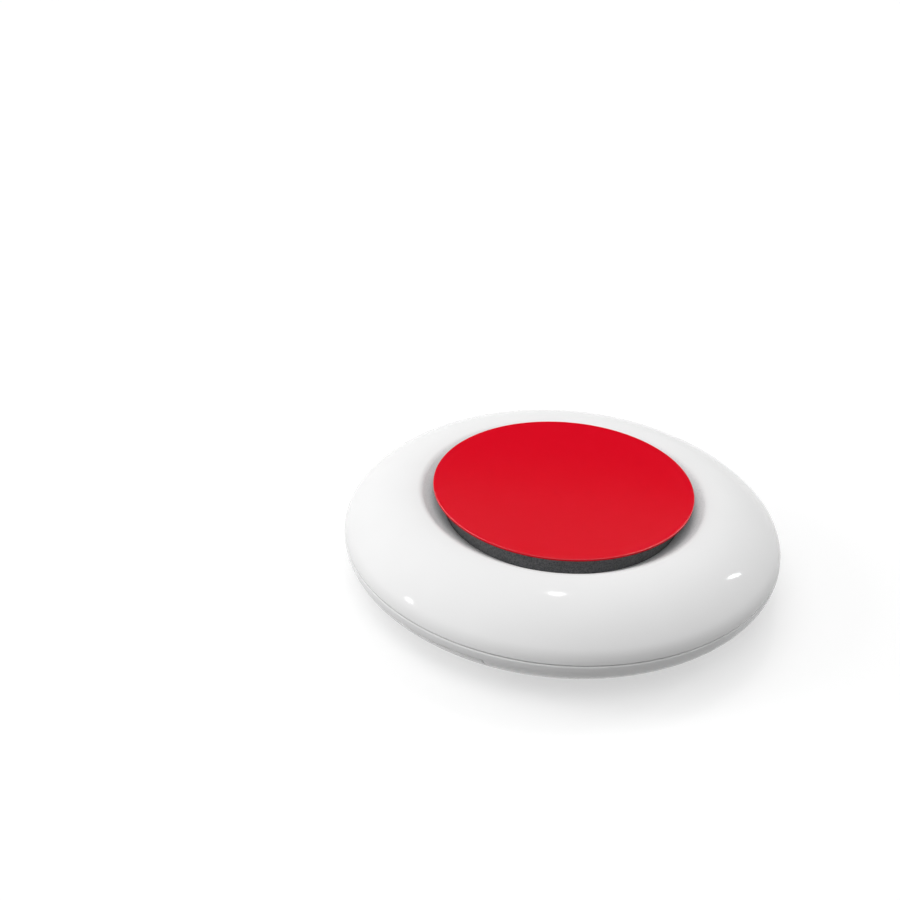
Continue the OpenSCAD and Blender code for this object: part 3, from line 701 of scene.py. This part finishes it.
def make_battery_cover():
    slope = math.radians(SLOPE_TURN)
    round_x = REST_R - PLATE_ROUND * math.tan(slope / 2)
    # where the disc's slope meets the door, with a small hollow there
    foot_r = DISC_R
    for _ in range(20):
        foot_r = REST_R + belly_height(foot_r) / math.tan(slope)
    before = (foot_r - DOOR_HOLLOW * math.cos(slope), belly_height(foot_r) - DOOR_HOLLOW * math.sin(slope))
    after = (foot_r + DOOR_HOLLOW, belly_height(foot_r + DOOR_HOLLOW))
    door = [p for p in low_outline(0, 1) if p[0] > after[0] + SNUG and p[1] < WAIST_Z]
    inside = [p for p in low_outline(DOOR_T, 1) if p[1] < WAIST_Z]
    outline = [(0, 0)] + arc(round_x, PLATE_ROUND, PLATE_ROUND, -90, SLOPE_TURN - 90, 3)
    outline += curve(before, (foot_r, belly_height(foot_r)), after) + door[::-1] + inside
    outline += [(BELLY_R, PLATE_T), (0, PLATE_T)]
    cover = turned("cover_moulding", outline)
    score(cover, seam_planes(DOOR_W / 2, DOOR_Z, -1))
    # what lies past the disc and beside the door goes
    edge_r = BELLY_R - PAST
    outside = turned(
        "outside",
        [(DISC_R, -PAST), (FAR, -PAST), (FAR, FAR), (edge_r, FAR), (edge_r, PLATE_T), (DISC_R, PLATE_T)],
    )
    cut(outside, slab(DOOR_W, 2 * FAR, -2 * PAST, DOOR_Z, 0, -FAR))
    cut(cover, outside)
    for side in (-1, 1):
        for y in HOOKS_Y:
            x0, x1 = sorted((side * HOOK_X, side * (HOOK_X + HOOK_T)))
            join(cover, block(x0, x1, y, y + HOOK_L, PLATE_T - LAP, HOOK_TOP))
            x0, x1 = sorted((side * HOOK_X, side * (HOOK_X + HOOK_T + HOOK_REACH)))
            join(cover, block(x0, x1, y, y + HOOK_L, HOOK_TOP - HOOK_H, HOOK_TOP))
    join(cover, rod(FINGER_W / 5, PLATE_T - LAP, PLATE_T + LAP, 0, FINGER_END - 2 * SLIT_R))
    cut(cover, flared_cutter(slit_outline, PLATE_T + PAST, CUT_FLARE))
    cut(cover, slab(FINGER_W + 2 * SLIT_W, 2, PLATE_T * 2 / 3, PLATE_T + PAST, 0, -FINGER_ROOT))
    for x, y in slot_places():
        slot = box_outline(SLOT_W, SLOT_L, SLOT_ROUND, x, y)
        cut(cover, flared_cutter(slot, PLATE_T + PAST, CUT_FLARE))
    for y0, y1 in ARROW_ROWS:
        wide, narrow = ARROW_SLOPE * (ARROW_TIP - y0), ARROW_SLOPE * (ARROW_TIP - y1)
        if narrow > 0:
            points = [(-narrow, -y1), (narrow, -y1), (wide, -y0), (-wide, -y0)]
        else:
            points = [(0, -y1), (wide, -y0), (-wide, -y0)]
        cut(cover, flared_cutter(rounded(points, ARROW_ROUND), ARROW_DEEP, ARROW_FLARE, ARROW_FOOT))
    round_seams(cover, DOOR_W / 2, DOOR_Z, -1, after[0])
    return cover


def make_cell_can():
    low, high, r = CELL_LOW.z, CELL_HIGH.z, CELL_HIGH.x
    sheet, fold, crimp = 0.3, 0.45, 0.18
    outline = [(0, low)] + arc(r - fold, low + fold, fold, -90, 0, 10)
    outline += arc(r - crimp, high - crimp, crimp, 0, 90, 15) + [(r - sheet, high)]
    outline += [(r - sheet, low + sheet), (0, low + sheet)]
    return turned("cell_cup", outline, TURNS // 2)


def make_springs():
    """The coils of the frame, copied into a piece of their own."""
    springs = bpy.data.objects.new("spring_coils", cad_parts["return_springs"].data.copy())
    bpy.context.scene.collection.objects.link(springs)
    return springs


# materials
def colour(code):
    """A colour written as sRGB hex, as linear values."""
    parts = [int(code[i : i + 2], 16) / 255 for i in (0, 2, 4)]
    return [c / 12.92 if c <= 0.04045 else ((c + 0.055) / 1.055) ** 2.4 for c in parts] + [1.0]


def add_node(tree, kind, inputs=None, **settings):
    """Adds a node. Inputs are values or the sockets that feed them, by name or number."""
    node = tree.nodes.new("ShaderNode" + kind)
    for name, value in settings.items():
        setattr(node, name, value)
    for name, value in (inputs or {}).items():
        if isinstance(value, bpy.types.NodeSocket):
            tree.links.new(value, node.inputs[name])
        else:
            node.inputs[name].default_value = value
    return node


def new_material(name, inputs):
    """A material with one surface shader; returns its tree and that shader."""
    material = bpy.data.materials.new(name)
    material.use_nodes = True
    tree = material.node_tree
    tree.nodes.clear()
    surface = add_node(tree, "BsdfPrincipled", inputs)
    add_node(tree, "OutputMaterial", {"Surface": surface.outputs[0]})
    return material, tree, surface


def place_in_mm(tree):
    """The point's place on its piece, in millimetres."""
    where = add_node(tree, "TexCoord").outputs["Object"]
    scaled = add_node(tree, "VectorMath", {0: where, "Scale": 1000.0}, operation="SCALE")
    return scaled.outputs[0]


def noise(tree, place, size, detail=2.0, rough=0.5):
    """Noise whose features are about this many millimetres across."""
    inputs = {"Vector": place, "Scale": 1 / size, "Detail": detail, "Roughness": rough}
    return add_node(tree, "TexNoise", inputs).outputs[0]


def spread(tree, value, low, high, start=0.3, end=0.7):
    """Maps a pattern onto a range of values."""
    inputs = {"Value": value, "From Min": start, "From Max": end, "To Min": low, "To Max": high}
    return add_node(tree, "MapRange", inputs).outputs[0]


def shade(tree, value, first, second):
    """Mixes two colours by a pattern."""
    inputs = {"Factor": value, 6: colour(first), 7: colour(second)}
    return add_node(tree, "Mix", inputs, data_type="RGBA").outputs[2]


def bump(tree, height, depth, strength=1.0):
    """A relief whose height runs over this many millimetres."""
    inputs = {"Height": height, "Distance": depth / 1000, "Strength": strength}
    return add_node(tree, "Bump", inputs).outputs[0]


def polished_abs():
    """White ABS moulded in a polished tool: a clear gloss with a faint ripple of the melt."""
    material, tree, surface = new_material(
        "polished_white_abs", {"IOR": 1.46, "Roughness": 0.06, "Specular IOR Level": 0.25}
    )
    place = place_in_mm(tree)
    ripple = noise(tree, place, size=9.0, detail=1.0)
    tree.links.new(shade(tree, ripple, "f1f1f1", "f4f4f4"), surface.inputs["Base Color"])
    haze = noise(tree, place, size=2.5, detail=4.0)
    tree.links.new(spread(tree, haze, 0.05, 0.075), surface.inputs["Roughness"])
    tree.links.new(bump(tree, ripple, depth=0.004), surface.inputs["Normal"])
    return material


def spark_textured_abs():
    """White ABS from a spark-eroded tool: a fine matt grain, with light and dark specks.

    The real grain of about 0.1 mm is too fine to show, so it is drawn at twice that.
    """
    material, tree, surface = new_material("spark_textured_white_abs", {"IOR": 1.53, "Roughness": 0.5})
    place = place_in_mm(tree)
    grain = noise(tree, place, size=0.22, detail=3.0, rough=0.6)
    tree.links.new(shade(tree, spread(tree, grain, 0, 1), "dededf", "fcfcfc"), surface.inputs["Base Color"])
    tree.links.new(spread(tree, grain, 0.42, 0.6), surface.inputs["Roughness"])
    tree.links.new(bump(tree, grain, depth=0.03), surface.inputs["Normal"])
    return material


def satin_red():
    """Red satin lacquer on the disc's face: an even deep colour with hardly any reflection."""
    material, tree, surface = new_material(
        "satin_red_lacquer", {"IOR": 1.5, "Roughness": 0.15, "Specular IOR Level": 0.003}
    )
    place = place_in_mm(tree)
    mottle = noise(tree, place, size=3.0, detail=2.0)
    tree.links.new(shade(tree, mottle, "d9031c", "dc041f"), surface.inputs["Base Color"])
    grain = noise(tree, place, size=0.2, detail=2.0)
    tree.links.new(bump(tree, grain, depth=0.003), surface.inputs["Normal"])
    return material


def red_edge():
    """The side of the disc's face: the bare red polycarbonate, polished by the cutter."""
    inputs = {"IOR": 1.58, "Roughness": 0.2, "Specular IOR Level": 0.3}
    material, tree, surface = new_material("red_polycarbonate_edge", inputs)
    place = place_in_mm(tree)
    lines = noise(tree, place, size=0.4, detail=3.0)
    tree.links.new(shade(tree, lines, "cf1024", "da1628"), surface.inputs["Base Color"])
    tree.links.new(spread(tree, lines, 0.16, 0.26), surface.inputs["Roughness"])
    return material


def back_print():
    """Dark grey print on the disc's underside, a dull ink with a faint screen grain."""
    material, tree, surface = new_material("dark_back_print", {"IOR": 1.5, "Roughness": 0.6})
    grain = noise(tree, place_in_mm(tree), size=0.3, detail=2.0)
    tree.links.new(shade(tree, grain, "5c5c5e", "686869"), surface.inputs["Base Color"])
    return material


def grained_nylon():
    """Dark grey glass-filled nylon: a dull grainy face with paler flecks of glass.

    Its flecks of about 0.1 mm are drawn at 0.28 mm, as coarse as they need to show.
    """
    material, tree, surface = new_material("dark_grey_nylon", {"IOR": 1.53, "Roughness": 0.55})
    place = place_in_mm(tree)
    grain = noise(tree, place, size=0.28, detail=3.0, rough=0.7)
    tree.links.new(shade(tree, spread(tree, grain, 0, 1), "505153", "959698"), surface.inputs["Base Color"])
    tree.links.new(bump(tree, grain, depth=0.04), surface.inputs["Normal"])
    return material


def clear_film():
    """Clear acrylic adhesive film: slightly milky, with a soft surface."""
    inputs = {"IOR": 1.47, "Roughness": 0.25, "Transmission Weight": 0.85}
    material, tree, surface = new_material("clear_acrylic_film", inputs)
    cloud = noise(tree, place_in_mm(tree), size=4.0, detail=3.0)
    tree.links.new(shade(tree, cloud, "eff0ec", "f7f7f4"), surface.inputs["Base Color"])
    return material


def moulded_black():
    """Black glass-filled nylon of the switch, the seal and the chip: dull, with a fine grain."""
    material, tree, surface = new_material("black_nylon", {"IOR": 1.53, "Roughness": 0.5})
    grain = noise(tree, place_in_mm(tree), size=0.15, detail=3.0, rough=0.6)
    tree.links.new(shade(tree, grain, "151618", "212225"), surface.inputs["Base Color"])
    tree.links.new(spread(tree, grain, 0.42, 0.58), surface.inputs["Roughness"])
    tree.links.new(bump(tree, grain, depth=0.012), surface.inputs["Normal"])
    return material


def red_acetal():
    """Red acetal of the switch stem: waxy and slightly translucent."""
    inputs = {"IOR": 1.48, "Roughness": 0.33, "Subsurface Weight": 0.15, "Subsurface Scale": 0.0004}
    material, tree, surface = new_material("red_acetal", inputs)
    cloud = noise(tree, place_in_mm(tree), size=0.8, detail=3.0)
    tree.links.new(shade(tree, cloud, "bd1f1c", "c92a24"), surface.inputs["Base Color"])
    return material


def glass_epoxy():
    """Glass epoxy board under green solder mask: copper tracks show as paler lines 0.3 mm wide."""
    material, tree, surface = new_material("green_glass_epoxy", {"IOR": 1.52, "Roughness": 0.3})
    place = place_in_mm(tree)
    bricks = {"Vector": place, "Scale": 1.0, "Mortar Size": 0.15, "Mortar Smooth": 0.1}
    bricks.update({"Brick Width": 3.6, "Row Height": 1.4})
    tracks = add_node(tree, "TexBrick", bricks, offset=0.5).outputs["Fac"]
    weave = noise(tree, place, size=0.5, detail=2.0)
    mask = shade(tree, weave, "145232", "1b5f3a")
    on_track = {"Factor": tracks, 6: mask, 7: colour("2f8050")}
    tinted = add_node(tree, "Mix", on_track, data_type="RGBA").outputs[2]
    tree.links.new(tinted, surface.inputs["Base Color"])
    tree.links.new(bump(tree, tracks, depth=0.03), surface.inputs["Normal"])
    return material


def ceramic():
    """Fired ceramic of the chip capacitors: a chalky tan."""
    material, tree, surface = new_material("tan_ceramic", {"IOR": 1.6, "Roughness": 0.55})
    speck = noise(tree, place_in_mm(tree), size=0.12, detail=3.0)
    tree.links.new(shade(tree, speck, "a98560", "bd9a72"), surface.inputs["Base Color"])
    return material


def bright_metal(name, first, second, grain, rough):
    """A plated or drawn metal: its colour and gloss wander over marks of this size."""
    material, tree, surface = new_material(name, {"Metallic": 1.0, "Roughness": rough})
    marks = noise(tree, place_in_mm(tree), size=grain, detail=3.0, rough=0.6)
    tree.links.new(shade(tree, marks, first, second), surface.inputs["Base Color"])
    tree.links.new(spread(tree, marks, rough * 0.8, rough * 1.3), surface.inputs["Roughness"])
    tree.links.new(bump(tree, marks, grain / 60), surface.inputs["Normal"])
    return material


def zinc_plated_steel():
    """Zinc-plated steel of the screws: bright, slightly blue, with a soft wander in its gloss."""
    return bright_metal("zinc_plated_steel", "b9bdc2", "c9ccd0", 0.3, 0.26)


def drawn_spring_steel():
    """Drawn spring wire: greyer than plated steel, with fine draw marks."""
    return bright_metal("drawn_spring_steel", "a3a4a6", "b4b5b6", 0.15, 0.3)


def tinned_steel():
    """Tinned sheet steel of the can, the crystal and the switch plate: pale and softly cloudy."""
    return bright_metal("tinned_sheet_steel", "c6c7c6", "d4d4d2", 0.9, 0.24)


def stamped_brass():
    """Stamped brass of the battery contacts and the antenna wire."""
    return bright_metal("stamped_brass", "c39b55", "d0ac69", 0.4, 0.25)


def nickel_plated_steel():
    """Nickel-plated steel of the coin cell: a warm bright metal, brushed in rings 0.15 mm apart."""
    material, tree, surface = new_material("nickel_plated_steel", {"Metallic": 1.0, "Roughness": 0.27})
    place = place_in_mm(tree)
    flat = add_node(tree, "VectorMath", {0: place, 1: (1, 1, 0)}, operation="MULTIPLY").outputs[0]
    radius = add_node(tree, "VectorMath", {0: flat}, operation="LENGTH").outputs["Value"]
    rings = {"W": radius, "Scale": 1 / 0.15, "Detail": 3.0}
    brushed = add_node(tree, "TexNoise", rings, noise_dimensions="1D").outputs[0]
    tree.links.new(shade(tree, brushed, "bdbbb6", "cfcdc8"), surface.inputs["Base Color"])
    tree.links.new(spread(tree, brushed, 0.2, 0.36), surface.inputs["Roughness"])
    tree.links.new(bump(tree, brushed, depth=0.004), surface.inputs["Normal"])
    return material


POLISHED = polished_abs()
TEXTURED = spark_textured_abs()
RED = satin_red()
RED_EDGE = red_edge()
BACK = back_print()
GREY = grained_nylon()
BLACK = moulded_black()
BOARD = glass_epoxy()
ZINC = zinc_plated_steel()
TINNED = tinned_steel()
NICKEL = nickel_plated_steel()
BRASS = stamped_brass()


def dress(piece, body, slot, material, *replaced):
    finish_surface(piece)
    piece.data.materials.clear()
    piece.data.materials.append(material)
    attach(piece, body)
    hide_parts(*replaced)
    return piece


top_shell = dress(make_top_shell(), "housing", "shell_white", POLISHED, "top_shell")
dress(make_bottom_shell(), "housing", "shell_white", POLISHED, "bottom_shell")
cover = dress(make_battery_cover(), "battery_cover", "cover_white", POLISHED, "battery_cover")
disc = dress(make_red_cap(), "button", "cap_red", RED, "red_cap")
skirt = dress(make_skirt(), "button", "skirt_grey", GREY, "plunger")
dress(make_cell_can(), "housing", "cell_steel", NICKEL, "cell_can")
springs = dress(make_springs(), "housing", "spring_steel", drawn_spring_steel(), "return_springs")
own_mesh(springs)


def second_finish(piece, material, belongs):
    """Gives the faces that belong another finish; belongs takes a face's middle in mm and normal."""
    piece.data.materials.append(material)
    index = len(piece.data.materials) - 1
    for face in piece.data.polygons:
        if belongs(face.center * 1000, face.normal):
            face.material_index = index


# the flat of the cover and the dish beyond the start of its roll come from a textured tool
MATT_DISH_R = DISH_R - LIP_R * math.sin(math.radians(20))
second_finish(cover, TEXTURED, lambda at, normal: abs(at.z) < 1e-3 and normal.z < -0.99)
second_finish(
    top_shell,
    TEXTURED,
    lambda at, normal: math.hypot(at.x, at.y) < MATT_DISH_R and normal.z > 0.05 and at.z > DISH_Z - 0.3,
)
second_finish(disc, RED_EDGE, lambda at, normal: 0.1 < normal.z < 0.98)
second_finish(disc, BACK, lambda at, normal: normal.z < -0.5)

# finishes of the pieces that stay as they are in the frame
FINISHES = {
    "cap_film": clear_film(),
    "shell_screws": ZINC,
    "board_screws": ZINC,
    "circuit_board": BOARD,
    "radio_board": BOARD,
    "switch_body": BLACK,
    "cell_seal": BLACK,
    "controller_chip": BLACK,
    "switch_stem": red_acetal(),
    "switch_plate": TINNED,
    "radio_can": TINNED,
    "crystal": TINNED,
    "cell_lid": NICKEL,
    "contact_positive": BRASS,
    "contact_negative": BRASS,
    "antenna_wire": BRASS,
    "chip_capacitors": ceramic(),
}
for node, finish in FINISHES.items():
    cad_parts[node].material_slots[0].material = finish


# light: a pale studio with wide soft windows of light round the object, strongest low on the left
# and high at the front, and three small strips whose reflections show in the gloss
BOUNCE_LEVEL = 0.71
WINDOW_FALL = 16.0
# azimuth, elevation and strength of each window
WINDOWS = (
    (223.0, 10.0, 5.1),
    (73.0, 10.0, 2.85),
    (133.0, 62.0, 1.5),
    (223.0, 62.0, 2.15),
    (313.0, 62.0, 3.7),
)


def direction(azimuth, elevation):
    a, e = math.radians(azimuth), math.radians(elevation)
    return Vector((math.cos(a) * math.cos(e), math.sin(a) * math.cos(e), math.sin(e)))


def seen_rays(tree):
    """1 for the rays that see the plain background: camera, glossy and transmission rays."""
    path = add_node(tree, "LightPath").outputs
    seen = add_node(tree, "Math", {0: path["Is Camera Ray"], 1: path["Is Glossy Ray"]}, operation="MAXIMUM")
    both = {0: seen.outputs[0], 1: path["Is Transmission Ray"]}
    return add_node(tree, "Math", both, operation="MAXIMUM").outputs[0]


def make_world():
    world = bpy.data.worlds.new("studio")
    bpy.context.scene.world = world
    world.use_nodes = True
    tree = world.node_tree
    tree.nodes.clear()

    def math_node(kind, first, second):
        return add_node(tree, "Math", {0: first, 1: second}, operation=kind).outputs[0]

    way = add_node(tree, "TexCoord").outputs["Generated"]
    up = add_node(tree, "SeparateXYZ", {0: way}).outputs["Z"]
    above = math_node("GREATER_THAN", up, 0.0)
    level = math_node("MULTIPLY", math_node("MINIMUM", up, 0.0), -BOUNCE_LEVEL)
    for azimuth, elevation, strength in WINDOWS:
        to_window = {0: way, 1: direction(azimuth, elevation)}
        facing = add_node(tree, "VectorMath", to_window, operation="DOT_PRODUCT").outputs["Value"]
        window = math_node("POWER", math_node("MAXIMUM", facing, 0.0), WINDOW_FALL)
        window = math_node("MULTIPLY", window, math_node("MULTIPLY", above, strength))
        level = math_node("ADD", level, window)
    plain = add_node(tree, "Background", {"Color": (1, 1, 1, 1), "Strength": 1.0})
    soft = add_node(tree, "Background", {"Color": (1, 1, 1, 1), "Strength": level})
    both = add_node(tree, "MixShader", {0: seen_rays(tree), 1: soft.outputs[0], 2: plain.outputs[0]})
    add_node(tree, "OutputWorld", {"Surface": both.outputs[0]})


def aim(lamp, place, target):
    lamp.location = place
    lamp.rotation_mode = "QUATERNION"
    lamp.rotation_quaternion = (Vector(target) - Vector(place)).to_track_quat("-Z", "Y")


def make_lamp(name, kind, **settings):
    data = bpy.data.lights.new(name, kind)
    for key, value in settings.items():
        setattr(data, key, value)
    lamp = bpy.data.objects.new(name, data)
    bpy.context.scene.collection.objects.link(lamp)
    return lamp


# direction, width, height and power of each strip, as seen from the object
STRIPS = (
    ((-0.262, 0.291, 0.92), 0.05, 0.1, 0.3),
    ((0.233, 0.8, 0.553), 0.035, 0.14, 0.3),
    ((-0.495, -0.673, 0.55), 0.09, 0.08, 0.25),
)


def make_strips():
    centre = Vector((0, 0, WAIST_Z / 1000))
    for i, (way, width, height, power) in enumerate(STRIPS):
        name = f"strip_{i + 1}"
        lamp = make_lamp(name, "AREA", shape="ELLIPSE", size=width, size_y=height, energy=power)
        aim(lamp, Vector(way) + centre, centre)
        lamp.visible_camera = False


# a large dim panel whose soft-edged sheen lies on the near half of the disc, and on nothing else
SHEEN_AT = (133.0, 52.0)
SHEEN_W = 1.2
SHEEN_H = 0.7
SHEEN_POWER = 38.0


def make_sheen():
    centre = Vector((0, 0, CAP_HIGH.z / 1000))
    lamp = make_lamp("sheen_panel", "AREA", shape="RECTANGLE", size=SHEEN_W, size_y=SHEEN_H)
    lamp.data.energy = SHEEN_POWER
    aim(lamp, direction(*SHEEN_AT) + centre, centre)
    lamp.visible_camera = False
    lamp.visible_diffuse = False
    lit = bpy.data.collections.new("sheen_on_disc")
    lit.objects.link(disc)
    lamp.light_linking.receiver_collection = lit


# the floor's share of real shadow; the rest is its own white
SHADOW_SHARE = 0.66
FLOOR_LIGHT = 0.906


def make_floor():
    """A pale floor, seen from above only; the world stands in for its bounce on the object."""
    material = bpy.data.materials.new("pale_floor")
    material.use_nodes = True
    tree = material.node_tree
    tree.nodes.clear()
    share = SHADOW_SHARE / FLOOR_LIGHT
    matt = add_node(tree, "BsdfDiffuse", {"Color": (share, share, share, 1)})
    own = add_node(tree, "Emission", {"Strength": 1.005 - SHADOW_SHARE})
    lit = add_node(tree, "AddShader", {0: matt.outputs[0], 1: own.outputs[0]})
    clear = add_node(tree, "BsdfTransparent")
    behind = add_node(tree, "NewGeometry").outputs["Backfacing"]
    front = add_node(tree, "Math", {0: seen_rays(tree), 1: behind}, operation="SUBTRACT", use_clamp=True)
    surface = add_node(tree, "MixShader", {0: front.outputs[0], 1: clear.outputs[0], 2: lit.outputs[0]})
    add_node(tree, "OutputMaterial", {"Surface": surface.outputs[0]})
    bm = bmesh.new()
    bmesh.ops.create_grid(bm, x_segments=1, y_segments=1, size=6.0)
    mesh = bpy.data.meshes.new("floor")
    bm.to_mesh(mesh)
    bm.free()
    mesh.materials.append(material)
    floor = bpy.data.objects.new("floor", mesh)
    floor.location.z = -0.00002
    bpy.context.scene.collection.objects.link(floor)


make_world()
make_strips()
make_sheen()
make_floor()

# the camera, fitted to the outline, the seam and the red disc of the photographed device
CAMERA_AZIMUTH = 43.0
CAMERA_ELEVATION = 33.73
CAMERA_DISTANCE = 203.56
CAMERA_ROLL = 4.641
CAMERA_TILT = -3.932
CAMERA_PAN = 5.783
LENS = 43.223
SENSOR = 36.0


def place_camera():
    turn = Matrix.Rotation(math.radians(CAMERA_AZIMUTH), 3, "Z")
    e = math.radians(CAMERA_ELEVATION)
    away = Vector((0, -math.cos(e), math.sin(e)))
    right = Vector((1, 0, 0))
    down = right.cross(away)
    level = Matrix((right, down, -away))
    nudge = (
        Matrix.Rotation(math.radians(CAMERA_PAN), 3, "Y")
        @ Matrix.Rotation(math.radians(CAMERA_TILT), 3, "X")
        @ Matrix.Rotation(math.radians(CAMERA_ROLL), 3, "Z")
    )
    axes = (nudge @ level @ turn.transposed()).transposed()
    data = bpy.data.cameras.new("camera")
    data.sensor_width = SENSOR
    data.lens = LENS
    data.clip_start = 0.01
    data.clip_end = 20
    camera = bpy.data.objects.new("camera", data)
    bpy.context.scene.collection.objects.link(camera)
    facing = axes @ Matrix.Diagonal((1, -1, -1))
    place = turn @ (away * CAMERA_DISTANCE) + Vector((0, 0, WAIST_Z))
    camera.matrix_world = Matrix.Translation(place / 1000) @ facing.to_4x4()
    bpy.context.scene.camera = camera
    return camera


place_camera()
scene = bpy.context.scene
scene.view_settings.view_transform = "Standard"
